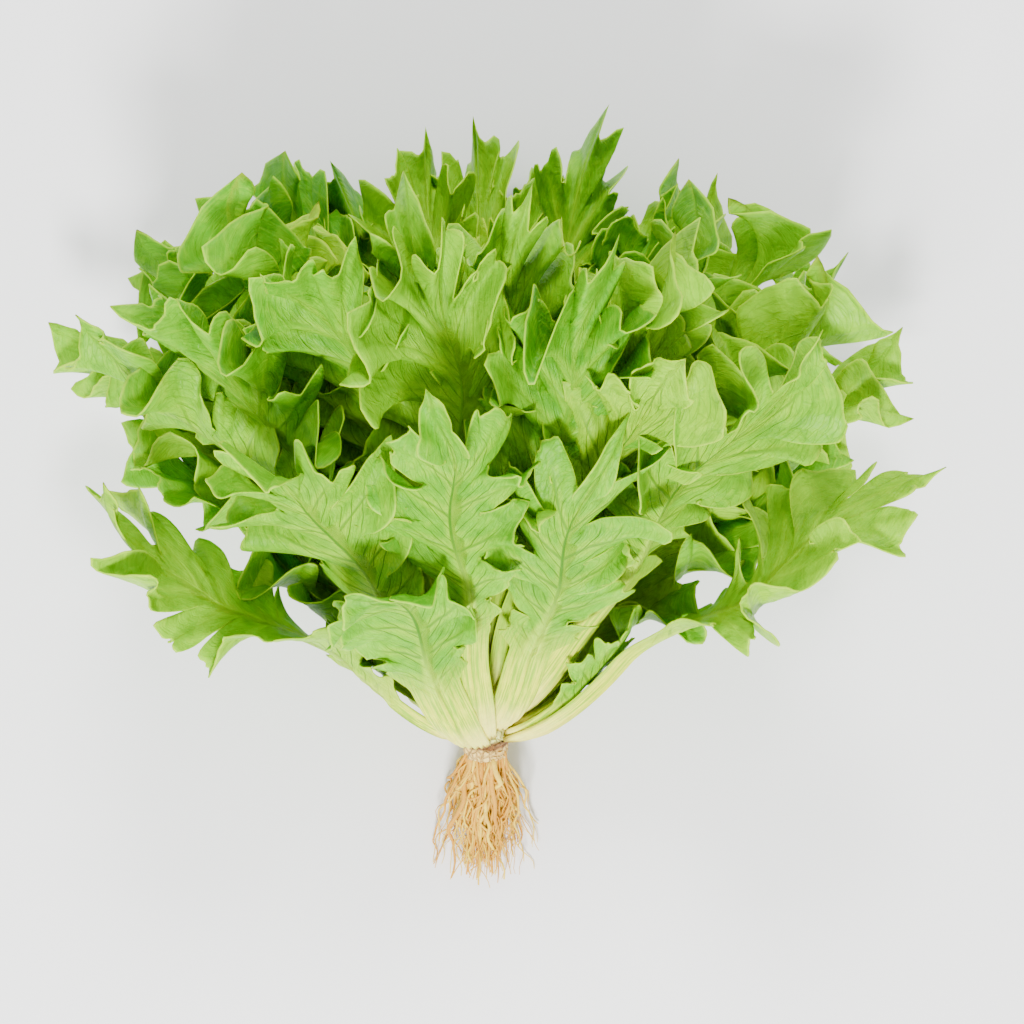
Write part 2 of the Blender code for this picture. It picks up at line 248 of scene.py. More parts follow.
def half_blade(length, half, rng, style, tip):
    """One half of a leaf, flat. Rows run from the rib out to the margin, and the last one runs to the tip.

    tip holds what both halves share at the tip, so that they meet there.
    """
    fan, start = style["fan"], style["start"]

    def rib_at(b):
        return (start + (fan - start) * (1.0 - (1.0 - b) ** 1.45)) * length

    def way(b):
        return np.radians(66.0 - 66.0 * b**2.3)

    def envelope(b):
        wide = half * (style["wing"] + (1.16 - style["wing"]) * smooth(b / 0.5))
        end = smooth((b - 0.66) / 0.34)
        return wide * (1.0 - end) + length * (1.0 - fan) * end

    # the margin without its notches, as a measure of arc length
    b = np.linspace(0.0, 1.0, 1200)
    e, w, m = envelope(b), way(b), rib_at(b)
    px, py = e * np.sin(w), m + e * np.cos(w)
    arc = np.concatenate([[0.0], np.cumsum(np.hypot(np.diff(px), np.diff(py)))])
    total = arc[-1]
    # lobes: the last one is shared by both halves
    count = style["lobes"]
    sizes = rng.uniform(0.8, 1.2, count)
    sizes[-1] = 0.55
    bounds = np.concatenate([[0.0], np.cumsum(sizes)])
    bounds = bounds / bounds[-1] * total
    gaps = bounds[1:-1]
    depth = rng.uniform(*style["depth"], count - 1)
    depth[0] *= 0.7
    mouth = rng.uniform(1.0, 1.7, count - 1) * style["mouth"]  # half-width of a notch, mm
    mid = (bounds[1:] + bounds[:-1]) / 2
    mid[-1] = total
    big = rng.uniform(0.84, 1.14, count)
    big[-1] = tip["size"]
    # rows crowd at the notches
    weight = np.full_like(arc, 1.0)
    for g, w_ in zip(gaps, mouth):
        weight += 1.6 * np.exp(-(((arc - g) / (w_ * 2.2)) ** 2))
    cum = np.cumsum(weight * np.gradient(arc))
    pick = np.interp(np.linspace(0.0, cum[-1], BLADE_ROWS), cum - cum[0], b)
    pick[0], pick[-1] = 0.0, 1.0
    stalk_t = np.linspace(0.0, 1.0, STALK_ROWS, endpoint=False)
    b = np.concatenate([np.zeros(STALK_ROWS), pick])
    t = np.concatenate([0.30 * stalk_t, 0.30 + 0.70 * pick])
    on = np.concatenate([np.zeros(STALK_ROWS), np.ones(BLADE_ROWS)])
    sig = np.interp(b, np.linspace(0, 1, 1200), arc)
    m = np.where(on > 0, rib_at(b), np.concatenate([stalk_t, np.zeros(BLADE_ROWS)]) * start * length)
    alpha = np.where(on > 0, way(b), np.radians(90.0 - 24.0 * np.concatenate([stalk_t, np.zeros(BLADE_ROWS)])))
    env = envelope(b) * np.interp(sig, mid, big)
    cut = np.zeros_like(b)
    pull = np.zeros_like(b)
    for g, d, w_ in zip(gaps, depth, mouth):
        x = sig - g
        cut = np.maximum(cut, d * np.exp(-np.abs(x / (w_ * 1.6)) ** 3.2))
        pull += -x * np.exp(-((x / 7.0) ** 2))
    which = np.clip(np.searchsorted(bounds, sig, side="right") - 1, 0, count - 1)
    span = (bounds[which + 1] - bounds[which]) / 2
    inside = np.clip(np.abs(sig - (bounds[which + 1] + bounds[which]) / 2) / span, 0, 1)
    inside = np.where(which == count - 1, np.clip((total - sig) / (2 * span), 0, 1), inside)
    reach = env * (1.0 - 0.20 * inside**2.6) * (1.0 - cut)
    # pointed teeth with round bays between them
    pitch = style["pitch"]
    back = total - sig
    start_at = tip["phase"][5]
    along = (back + 2.2 * (np.sin(back / 11.0 + start_at) - math.sin(start_at))) / pitch
    tall = rng.uniform(0.55, 1.2, 90)
    tall[0] = 1.1
    tooth = cusp(along) * tall[np.round(along).astype(int) % 90]
    fine = cusp(back / (pitch * 0.36)) * 0.14
    reach = reach + (tooth + fine - 0.3) * style["tooth"] * smooth(env / 16.0) * (1.0 - np.clip(cut * 1.5, 0, 0.9))
    foot = style["stalk"] * np.interp(t, [0.0, 0.12, 0.30], [0.86, 1.0, 1.08])
    reach = np.where(on > 0, foot * (1 - smooth(sig / 7.0)) + np.maximum(reach, foot * 0.7) * smooth(sig / 7.0), foot)
    rho = (1.0 - (1.0 - np.linspace(0.0, 1.0, COLS + 1)) ** 1.25)[None, :] + 0.0 * reach[:, None]
    # how each row bends out of the leaf's plane, in radians along its length
    tau = total - sig
    signed = tip["side"] * tau
    waves = tip["phase"]
    ph1 = 2 * math.pi * signed / style["long"] + 0.9 * np.sin(signed / 19.0 + waves[3]) + waves[0]
    ph3 = 2 * math.pi * signed / style["short"] + 0.7 * np.sin(signed / 4.5) + waves[2]
    # neighbouring teeth curl to opposite sides
    swell = rng.uniform(0.55, 1.25, 40)
    swell[0] = 1.0
    swell = np.interp(back, np.arange(40) * 13.0, swell)
    lean = rng.normal(style["cup"], style["cup_var"], count)
    lean[-1] = tip["lean"]
    lean = np.interp(sig, mid, lean)
    blade = on * smooth(sig / 22.0)
    gain = (np.clip(reach / 30.0, 0.15, 1.0) ** 0.4)[:, None]
    bend = lean[:, None] * rho**0.9 * 1.3
    bend = bend + style["a1"] * np.sin(ph1)[:, None] * rho**1.3
    bend = bend + style["a2"] * (swell * np.cos(math.pi * along))[:, None] * rho**2.0
    bend = bend + style["a3"] * np.sin(ph3)[:, None] * rho**4.0
    bend = bend * blade[:, None] * gain
    step = np.diff(rho, axis=1) * reach[:, None]
    half_bend = (bend[:, 1:] + bend[:, :-1]) / 2
    r = np.concatenate([np.zeros((len(b), 1)), np.cumsum(step * np.cos(half_bend), axis=1)], axis=1)
    lift = np.concatenate([np.zeros((len(b), 1)), np.cumsum(step * np.sin(half_bend), axis=1)], axis=1)
    # the folds are round: wide at their crests, steep between them
    slide = tip["side"] * 0.065 * style["long"] * np.sin(2 * ph1)[:, None] * rho**2.2
    slide = (slide - 0.15 * pitch * np.sin(2 * math.pi * along)[:, None] * rho**3.0) * style["slide"]
    slide = slide * (blade * smooth(tau / 5.0))[:, None] * gain
    # rows lean towards a notch, so its mouth is narrower than its end
    a = alpha[:, None] - (pull * smooth(tau / 12.0))[:, None] * rho**2.4 * style["keyhole"] / np.maximum(reach, 12.0)[:, None]
    a = a - 0.14 * rho * smooth(b / 0.2)[:, None] * (1 - b[:, None])
    # between the ribs the blade bulges
    flat_r = rho * reach[:, None]
    lift = lift + style["pucker"] * np.sin(flat_r / 2.6 + waves[0]) * np.sin(sig / 3.1 + waves[1])[:, None] * blade[:, None] * smooth(rho / 0.15) * (1 - 0.4 * rho)
    edge = reach[:, None] - flat_r
    rib_gap = np.min(np.abs(sig[:, None] - mid[None, :]), axis=1)[:, None] * (0.2 + 0.8 * rho)
    return {
        "t": t[:, None] + 0 * rho, "b": b[:, None] + 0 * rho, "rho": rho, "across": r * np.sin(a),
        "forward": m[:, None] + r * np.cos(a), "rad": flat_r, "reach": reach[:, None] + 0 * rho, "lift": lift,
        "slide": slide, "vein": rib_gap, "edge": edge, "arc": tip["side"] * (tau[:, None] + 0.75 * flat_r) + 400.0,
        "blade": blade[:, None] + 0 * rho,
    }


def waves_of(seed):
    return 2.4 * math.sin(seed * 1.7)


def leaf_mesh(row, style, seed):
    name, phi, lam, length, half, bend, bend_from, twist = row
    rng = np.random.default_rng(seed)
    shell = Shell(lam, bend, bend_from, length)
    phi0 = math.radians(phi)
    tip = {"size": rng.uniform(0.92, 1.08), "lean": rng.normal(style["cup"], style["cup_var"]) * 0.8, "phase": rng.uniform(0, 2 * math.pi, 6)}
    halves = [half_blade(length, half, rng, style, dict(tip, side=side)) for side in (-1.0, 1.0)]

    def join(key, flip=1.0):
        return np.concatenate([flip * halves[0][key][:, ::-1], halves[1][key][:, 1:]], axis=1)

    x, y = join("across", -1.0), join("forward")
    rad, rho, t, b = join("rad"), join("rho"), join("t"), join("b")
    vein, blade = join("vein"), join("blade")
    sgn = np.sign(join("rho", -1.0) + 1e-9)
    limit = style["wrap"]

    def place(x, y):
        y = np.clip(y, 0.0, 258.0)
        cx, cd, _ = shell.at(y, np.full_like(y, phi0))
        radius = np.maximum(np.hypot(cx, cd), 7.0)
        az = phi0 + limit * np.tanh(x / (radius * limit))
        points = settle(*shell.at(y, az))
        if twist:
            points = twisted(points, shell, y, x, phi0, length, half, twist)
        return points

    p = place(x, y)
    e = 1.2
    along = place(x, y + e) - place(x, y - e)
    across = place(x + e, y) - place(x - e, y)
    # away from the head's axis: azimuth runs clockwise seen from the crown
    out = np.cross(across, along)
    out /= np.maximum(np.linalg.norm(out, axis=-1, keepdims=True), 1e-9)
    rows_dir = np.stack([np.gradient(p[..., i], axis=0) for i in range(3)], axis=-1)
    rows_dir /= np.maximum(np.linalg.norm(rows_dir, axis=-1, keepdims=True), 1e-9)
    q = p - out * join("lift")[..., None] + rows_dir * join("slide")[..., None]

    # the stalk and the ribs stand out on the outer side
    rib_w = style["stalk"] * np.interp(t, [0.0, 0.3, 1.0], [0.95, 0.62, 0.14]) + 0.4
    hump = np.exp(-((rad / rib_w) ** 2) * 1.1) * (1.0 + 0.24 * np.sin(rad * 2.9 + waves_of(seed)) * smooth((0.5 - t) / 0.14))
    tall = style["rib"] * np.interp(t, [0.0, 0.06, 0.3, 0.6, 1.0], [0.8, 1.0, 0.72, 0.34, 0.06])
    lobe_rib = 0.3 * np.exp(-((vein / 0.9) ** 2)) * (1 - rho) ** 0.8 * smooth(rad / 3.0) * blade
    thick = style["thin"] + tall * hump + lobe_rib
    gu = np.stack([np.gradient(q[..., i], axis=1) for i in range(3)], axis=-1)
    gv = np.stack([np.gradient(q[..., i], axis=0) for i in range(3)], axis=-1)
    nrm = np.cross(gu, gv)
    size = np.linalg.norm(nrm, axis=-1, keepdims=True)
    nrm = nrm / np.maximum(size, 1e-9)
    if np.sum(nrm * out * size) < 0:
        nrm = -nrm
    trust = smooth(size / 0.25)
    trust[-1] = 0.0
    trust[-2] *= 0.5
    nrm = nrm * trust + out * (1.0 - trust) + out * 0.02
    nrm /= np.maximum(np.linalg.norm(nrm, axis=-1, keepdims=True), 1e-9)
    outer = q + nrm * (thick - style["thin"] * 0.5)[..., None]
    inner = q - nrm * (style["thin"] * 0.5)
    for sheet in (outer, inner):
        sheet[..., 2] = 0.3 + 1.2 * np.logaddexp(0.0, (sheet[..., 2] - 0.3) / 1.2)
    data = {"rad": rad, "rho": rho, "edge": join("edge"), "along": t, "b": b, "vein": vein, "arc": join("arc")}
    return outer, inner, data


def grid_object(name, outer, inner, data, skin, tint):
    rows, cols = outer.shape[:2]
    n = rows * cols
    points = np.concatenate([outer.reshape(-1, 3), inner.reshape(-1, 3)]) + SHIFT
    i = np.arange(rows - 1)[:, None] * cols + np.arange(cols - 1)[None, :]
    a, b_, c, d = i, i + 1, i + cols + 1, i + cols
    top = np.stack([a, b_, c, d], -1).reshape(-1, 4)
    bottom = top[:, ::-1] + n
    rim = []
    for k in range(rows - 1):  # the two margins
        l0, l1 = k * cols, (k + 1) * cols
        rim.append((l0, l1, l1 + n, l0 + n))
        r0, r1 = k * cols + cols - 1, (k + 1) * cols + cols - 1
        rim.append((r1, r0, r0 + n, r1 + n))
    for k in range(cols - 1):
        rim.append((k + 1, k, k + n, k + 1 + n))
    faces = np.concatenate([top, bottom, np.array(rim)])
    mesh = bpy.data.meshes.new(name)
    mesh.from_pydata((points * MM).tolist(), [], faces.tolist())
    mesh.validate()
    mesh.update()
    for key, value in data.items():
        at = mesh.attributes.new(key, "FLOAT", "POINT")
        flat = value.reshape(-1)
        at.data.foreach_set("value", np.concatenate([flat, flat]).astype(np.float32))
    at = mesh.attributes.new("under", "FLOAT", "POINT")
    at.data.foreach_set("value", np.concatenate([np.ones(n), np.zeros(n)]).astype(np.float32))
    at = mesh.attributes.new("tint", "FLOAT", "POINT")
    at.data.foreach_set("value", np.full(2 * n, tint, dtype=np.float32))
    mesh.materials.append(skin)
    mesh.shade_smooth()
    obj = bpy.data.objects.new(name, mesh)
    bpy.context.scene.collection.objects.link(obj)
    bm = bmesh.new()
    bm.from_mesh(mesh)
    bm.verts.ensure_lookup_table()
    last = [bm.verts[(rows - 1) * cols + k + side * n] for side in (0, 1) for k in range(cols)]
    bmesh.ops.remove_doubles(bm, verts=last, dist=0.00002)
    bmesh.ops.recalc_face_normals(bm, faces=bm.faces)
    bm.to_mesh(mesh)
    bm.free()
    return obj


STYLE = {
    "outer": dict(start=0.22, fan=0.80, wing=0.34, lobes=7, depth=(0.32, 0.58), mouth=1.4, pitch=8.0, tooth=8.0,
                  stalk=7.0, keyhole=1.2, wrap=1.1, long=30.0, short=6.0, a1=0.60, a2=0.66, a3=0.10, cup=0.10,
                  cup_var=0.28, slide=0.9, pucker=0.55, rib=3.4, thin=0.55),
    "mid": dict(start=0.28, fan=0.82, wing=0.26, lobes=9, depth=(0.26, 0.52), mouth=1.2, pitch=7.2, tooth=9.4,
                stalk=5.6, keyhole=1.2, wrap=1.1, long=20.0, short=5.5, a1=0.92, a2=0.72, a3=0.10, cup=0.26,
                cup_var=0.42, slide=0.75, pucker=0.6, rib=2.4, thin=0.5),
    "heart": dict(start=0.34, fan=0.82, wing=0.28, lobes=6, depth=(0.26, 0.46), mouth=1.1, pitch=6.6, tooth=8.2,
                  stalk=3.8, keyhole=1.0, wrap=1.1, long=18.0, short=5.2, a1=0.86, a2=0.72, a3=0.10, cup=0.28,
                  cup_var=0.36, slide=0.75, pucker=0.45, rib=1.5, thin=0.45),
}
# the leaves that lie in front are flatter than the rest
FRONT = {
    "leaf_outer_01": dict(tint=0.1, cup=-0.10, cup_var=0.08, a1=0.36, a2=0.38, depth=(0.10, 0.22), pitch=9.0,
                          tooth=4.0, wing=0.50, lobes=5, start=0.32, stalk=10.0),
    "leaf_outer_02": dict(tint=1.0, a1=0.42, a2=0.42, pitch=10.0, depth=(0.4, 0.64), mouth=2.1, keyhole=0.8, lobes=6,
                          tooth=7.0, start=0.34, stalk=7.6),
    "leaf_outer_03": dict(tint=1.0, a1=0.38, a2=0.40, pitch=10.0, depth=(0.44, 0.68), mouth=2.3, keyhole=0.8, lobes=6,
                          tooth=7.0, start=0.16, wing=0.44),
    "leaf_outer_04": dict(tint=0.05, a1=0.46, a2=0.50, pitch=9.6, depth=(0.36, 0.58), mouth=2.3, keyhole=0.9, lobes=6,
                          tooth=6.0, start=0.32, wing=0.28, stalk=7.8, rib=2.2),
    "leaf_outer_05": dict(a1=0.30, a2=0.40, pitch=8.0, depth=(0.2, 0.4), keyhole=0.6, lobes=4, tooth=5.0, start=0.30,
                          wing=0.6, stalk=4.6),
    "leaf_outer_06": dict(wing=0.46, start=0.12),
    "leaf_outer_07": dict(pitch=9.4, a1=0.46, a2=0.52, depth=(0.24, 0.44), wing=0.48, tooth=6.4, start=0.10),
    "leaf_outer_08": dict(tint=0.4, a1=0.56, a2=0.58, pitch=9.5, depth=(0.46, 0.66), mouth=2.3, keyhole=0.9, lobes=6,
                          start=0.28, stalk=8.0, tooth=7.0),
    "leaf_outer_09": dict(tint=0.1, a1=0.44, a2=0.46, pitch=9.0, depth=(0.56, 0.76), mouth=3.0, keyhole=1.1, lobes=6,
                          start=0.28, wing=0.40, stalk=7.8),
    "leaf_outer_10": dict(wing=0.44, start=0.12),
    "leaf_outer_11": dict(pitch=9.4, a1=0.46, a2=0.52, depth=(0.24, 0.44), wing=0.5, tooth=6.4, start=0.10),
    "leaf_outer_13": dict(a1=0.56, a2=0.60, pitch=9.6, mouth=2.0, keyhole=0.8, tooth=7.0, start=0.32, stalk=8.0),
    "leaf_outer_16": dict(a1=0.60, a2=0.66, pitch=9.6, mouth=1.8, keyhole=0.8, tooth=7.0, start=0.30, stalk=8.0),
    "leaf_outer_17": dict(pitch=9.4, tooth=6.8, a1=0.50, a2=0.60, depth=(0.22, 0.42), wing=0.52, start=0.06, stalk=10.6),
}


# ---------------------------------------------------------------- materials
class Nodes:
    """A short way to wire a procedural material."""

    def __init__(self, name):
        self.mat = bpy.data.materials.new(name)
        self.mat.use_nodes = True
        self.tree = self.mat.node_tree
        self.shader = self.tree.nodes["Principled BSDF"]

    def put(self, socket, value):
        if isinstance(value, bpy.types.NodeSocket):
            self.tree.links.new(value, socket)
        elif hasattr(socket.default_value, "__len__") and not hasattr(value, "__len__"):
            socket.default_value = (value,) * len(socket.default_value)
        else:
            socket.default_value = value

    def attr(self, name):
        node = self.tree.nodes.new("ShaderNodeAttribute")
        node.attribute_name = name
        return node.outputs["Fac"]

    def math(self, op, a, b=0.0, c=None):
        node = self.tree.nodes.new("ShaderNodeMath")
        node.operation = op
        self.put(node.inputs[0], a)
        self.put(node.inputs[1], b)
        if c is not None:
            self.put(node.inputs[2], c)
        return node.outputs[0]

    def ramp(self, value, low, high, a=0.0, b=1.0):
        node = self.tree.nodes.new("ShaderNodeMapRange")
        node.interpolation_type = "SMOOTHSTEP"
        self.put(node.inputs["Value"], value)
        node.inputs["From Min"].default_value = low
        node.inputs["From Max"].default_value = high
        node.inputs["To Min"].default_value = a
        node.inputs["To Max"].default_value = b
        return node.outputs["Result"]

    def mix(self, factor, a, b, blend="MIX"):
        node = self.tree.nodes.new("ShaderNodeMix")
        node.data_type = "RGBA"
        node.blend_type = blend
        self.put(node.inputs["Factor"], factor)
        self.put(node.inputs[6], (*a, 1.0) if isinstance(a, tuple) else a)
        self.put(node.inputs[7], (*b, 1.0) if isinstance(b, tuple) else b)
        return node.outputs[2]

    def noise(self, scale, detail=3.0, vector=None, rough=0.5, distort=0.0):
        node = self.tree.nodes.new("ShaderNodeTexNoise")
        node.inputs["Scale"].default_value = scale
        node.inputs["Detail"].default_value = detail
        node.inputs["Roughness"].default_value = rough
        node.inputs["Distortion"].default_value = distort
        self.put(node.inputs["Vector"], vector if vector is not None else self.where())
        return node.outputs["Fac"]

    def cells(self, vector, scale):
        node = self.tree.nodes.new("ShaderNodeTexVoronoi")
        node.feature = "DISTANCE_TO_EDGE"
        node.inputs["Scale"].default_value = scale
        self.put(node.inputs["Vector"], vector)
        return node.outputs["Distance"]

    def where(self):
        return self.tree.nodes.new("ShaderNodeTexCoord").outputs["Object"]

    def vec(self, x, y, z=0.0):
        node = self.tree.nodes.new("ShaderNodeCombineXYZ")
        for socket, value in zip(node.inputs, (x, y, z)):
            self.put(socket, value)
        return node.outputs[0]

    def bump(self, height, distance, strength=1.0, normal=None):
        node = self.tree.nodes.new("ShaderNodeBump")
        node.inputs["Strength"].default_value = strength
        node.inputs["Distance"].default_value = distance
        self.put(node.inputs["Height"], height)
        if normal is not None:
            self.put(node.inputs["Normal"], normal)
        return node.outputs["Normal"]


def srgb(r, g, b):
    """0-255 screen colour to the linear one a shader takes."""
    return tuple(c / 3294.6 if c <= 10 else ((c / 255 + 0.055) / 1.055) ** 2.4 for c in (r, g, b))


def leaf_material(name, look):
    n = Nodes(name)
    under, t, edge, rad = n.attr("under"), n.attr("along"), n.attr("edge"), n.attr("rad")
    rho, vein, tint, arc = n.attr("rho"), n.attr("vein"), n.attr("tint"), n.attr("arc")
    over = n.math("SUBTRACT", 1.0, under)
    patchy = n.noise(24.0, 3.0)
    fine = n.noise(260.0, 4.0, rough=0.6)
    crinkle = n.noise(105.0, 3.0, rough=0.55, distort=0.6)
    top = n.mix(n.ramp(patchy, 0.38, 0.62), look["top"], look["top2"])
    low = n.mix(n.ramp(patchy, 0.38, 0.62), look["low"], look["low2"])
    color = n.mix(under, top, low)
    # each leaf is a little greener or yellower
    color = n.mix(n.ramp(tint, 0.0, 1.0, 0.0, 0.5), color, look["young"])
    blade = n.ramp(t, 0.22, 0.36)
    # fine streaks run from the rib out to the margin
    streak = n.noise(1.0, 4.0, n.vec(n.math("MULTIPLY", arc, 0.95), n.math("MULTIPLY", rad, 0.14), under), rough=0.6)
    color = n.mix(n.math("MULTIPLY", n.ramp(streak, 0.5, 0.72), 0.34), color, look["light"])
    color = n.mix(n.math("MULTIPLY", n.ramp(streak, 0.46, 0.3), 0.40), color, look["deep"])
    # painted highlight on the crinkles' crests and painted shade in their hollows, from the same noise that raises the
    # crinkle bump
    color = n.mix(n.math("MULTIPLY", n.ramp(crinkle, 0.5, 0.72), 0.26), color, look["light"])
    color = n.mix(n.math("MULTIPLY", n.ramp(crinkle, 0.5, 0.3), 0.34), color, look["deep"])
    # veins: those of the lobes, finer ones that fan out between them, and a net
    wob = n.math("MULTIPLY", n.noise(48.0, 3.0), 1.2)
    fan = n.math("PINGPONG", n.math("ADD", n.math("MULTIPLY", arc, 0.12), wob), 0.5)
    fan_line = n.math("MULTIPLY", n.ramp(fan, 0.008, 0.07, 1.0, 0.0), n.ramp(rho, 0.3, 0.9, 1.0, 0.1))
    fan2 = n.math("PINGPONG", n.math("ADD", n.math("MULTIPLY", arc, 0.41), n.math("MULTIPLY", wob, 1.6)), 0.5)
    fan_line2 = n.math("MULTIPLY", n.ramp(fan2, 0.0, 0.10, 0.30, 0.0), n.ramp(rho, 0.2, 1.0, 1.0, 0.1))
    net = n.cells(n.vec(n.math("MULTIPLY", arc, 0.42), n.math("MULTIPLY", rad, 0.30), under), 1.0)
    net_line = n.math("MULTIPLY", n.ramp(net, 0.0, 0.07, 1.0, 0.0), 0.30)
    lobe = n.math("MULTIPLY", n.ramp(vein, 0.12, 0.62, 1.0, 0.0), n.ramp(rho, 0.35, 0.92, 1.0, 0.15))
    centre = n.math("MULTIPLY", n.ramp(rad, 0.3, 1.1, 1.0, 0.0), n.ramp(t, 0.34, 0.5))
    lobe = n.math("MULTIPLY", lobe, 0.75)
    lines = n.math("MAXIMUM", n.math("MAXIMUM", fan_line, fan_line2), n.math("MAXIMUM", net_line, n.math("MAXIMUM", lobe, centre)))
    lines = n.math("MULTIPLY", lines, blade)
    # pale along both sides of a vein, the vein itself darker beneath and lighter above
    halo = n.math("MULTIPLY", n.math("MAXIMUM", n.ramp(vein, 0.5, 2.6, 1.0, 0.0), n.ramp(rad, 0.8, 4.2, 1.0, 0.0)), n.ramp(rho, 0.2, 0.85, 0.42, 0.0))
    color = n.mix(n.math("MULTIPLY", halo, blade), color, look["light"])
    color = n.mix(n.math("MULTIPLY", n.math("MULTIPLY", lines, under), look["dark_vein"]), color, look["vein_under"])
    color = n.mix(n.math("MULTIPLY", n.math("MULTIPLY", lines, over), look["light_vein"]), color, look["vein_top"])
    # the midrib is pale where it is thick
    mid_w = n.ramp(t, 0.2, 0.62, 6.4, 0.8)
    mid = n.ramp(n.math("DIVIDE", rad, mid_w), 0.4, 1.0, 1.0, 0.0)
    color = n.mix(n.math("MULTIPLY", mid, n.ramp(t, 0.3, 0.66, 0.8, 0.0)), color, look["rib"])
    # stalks whiten towards the stem, with fine stripes along them
    stripe = n.noise(1.0, 3.0, n.vec(n.math("MULTIPLY", rad, 1.35), n.math("MULTIPLY", t, 6.0), under), rough=0.6)
    stalk_col = n.mix(n.ramp(stripe, 0.40, 0.58), look["stalk"], look["stalk2"])
    stalk_col = n.mix(n.ramp(t, 0.03, 0.17, 1.0, 0.0), stalk_col, look["foot"])
    stalk_col = n.mix(n.ramp(n.math("ADD", t, n.math("MULTIPLY", stripe, 0.03)), 0.016, 0.034, 0.8, 0.0), stalk_col, look["heel"])
    color = n.mix(n.ramp(n.math("ADD", t, n.math("MULTIPLY", stripe, 0.08)), look["pale_from"], look["pale_to"], 1.0, 0.0), color, stalk_col)
    # light line at the margin
    rim = n.math("MULTIPLY", n.ramp(edge, 0.1, 1.1, 1.0, 0.0), n.ramp(t, 0.1, 0.3))
    color = n.mix(n.math("MULTIPLY", rim, 0.5), color, look["rim"])
    color = n.mix(n.ramp(fine, 0.3, 0.7, 0.0, 0.14), color, look["deep"])
    n.put(n.shader.inputs["Base Color"], color)
    n.put(n.shader.inputs["Roughness"], n.ramp(fine, 0.3, 0.7, look["rough"] - 0.05, look["rough"] + 0.07))
    n.shader.inputs["Specular IOR Level"].default_value = 0.14
    n.shader.inputs["Subsurface Weight"].default_value = look["sss"]
    n.shader.inputs["Subsurface Radius"].default_value = (0.6, 1.0, 0.08)
    n.shader.inputs["Subsurface Scale"].default_value = 0.0018
    height = n.math("ADD", n.math("MULTIPLY", lines, n.ramp(under, 0.0, 1.0, -0.6, 0.8)), n.math("MULTIPLY", fine, 0.5))
    height = n.math("ADD", height, n.math("MULTIPLY", streak, 0.55))
    height = n.math("ADD", height, n.math("MULTIPLY", n.math("MULTIPLY", crinkle, blade), 2.6))
    height = n.math("ADD", height, n.math("MULTIPLY", stripe, n.ramp(t, 0.25, 0.45, 1.6, 0.0)))
    n.put(n.shader.inputs["Normal"], n.bump(height, 0.0005, 0.85))
    return n.mat


LOOKS = {
    "outer": dict(top=srgb(92, 172, 0), top2=srgb(68, 146, 0), low=srgb(120, 190, 0), low2=srgb(98, 172, 0),
                  young=srgb(168, 208, 0), light=srgb(176, 218, 16), vein_under=srgb(42, 108, 0),
                  vein_top=srgb(160, 210, 20), dark_vein=0.88, light_vein=0.4, rib=srgb(184, 224, 50),
                  stalk=srgb(150, 200, 0), stalk2=srgb(232, 242, 50), foot=srgb(255, 248, 120),
                  heel=srgb(170, 136, 20), rim=srgb(196, 230, 40), deep=srgb(46, 112, 0), rough=0.44, sss=0.26,
                  pale_from=0.24, pale_to=0.48),
    # the mid leaves' greens are a little darker than the outer leaves': partly their own green, partly painted shade
    # for the crown, where they lie
    "mid": dict(top=srgb(92, 168, 0), top2=srgb(56, 134, 0), low=srgb(114, 182, 0), low2=srgb(84, 160, 0),
                young=srgb(158, 206, 0), light=srgb(166, 216, 16), vein_under=srgb(50, 118, 0),
                vein_top=srgb(158, 208, 10), dark_vein=0.5, light_vein=0.4, rib=srgb(176, 218, 24),
                stalk=srgb(150, 204, 0), stalk2=srgb(194, 228, 40), foot=srgb(240, 240, 120),
                heel=srgb(176, 150, 34), rim=srgb(192, 230, 24), deep=srgb(28, 92, 0), rough=0.42, sss=0.28,
                pale_from=0.18, pale_to=0.40),
    "heart": dict(top=srgb(130, 198, 0), top2=srgb(100, 176, 0), low=srgb(146, 204, 0), low2=srgb(124, 190, 0),
                  young=srgb(186, 216, 0), light=srgb(190, 224, 24), vein_under=srgb(78, 144, 0),
                  vein_top=srgb(186, 222, 16), dark_vein=0.4, light_vein=0.35, rib=srgb(196, 226, 40),
                  stalk=srgb(190, 220, 30), stalk2=srgb(212, 232, 70), foot=srgb(240, 240, 130),
                  heel=srgb(190, 170, 50), rim=srgb(204, 232, 30), deep=srgb(54, 122, 0), rough=0.42, sss=0.28,
                  pale_from=0.24, pale_to=0.46),
}


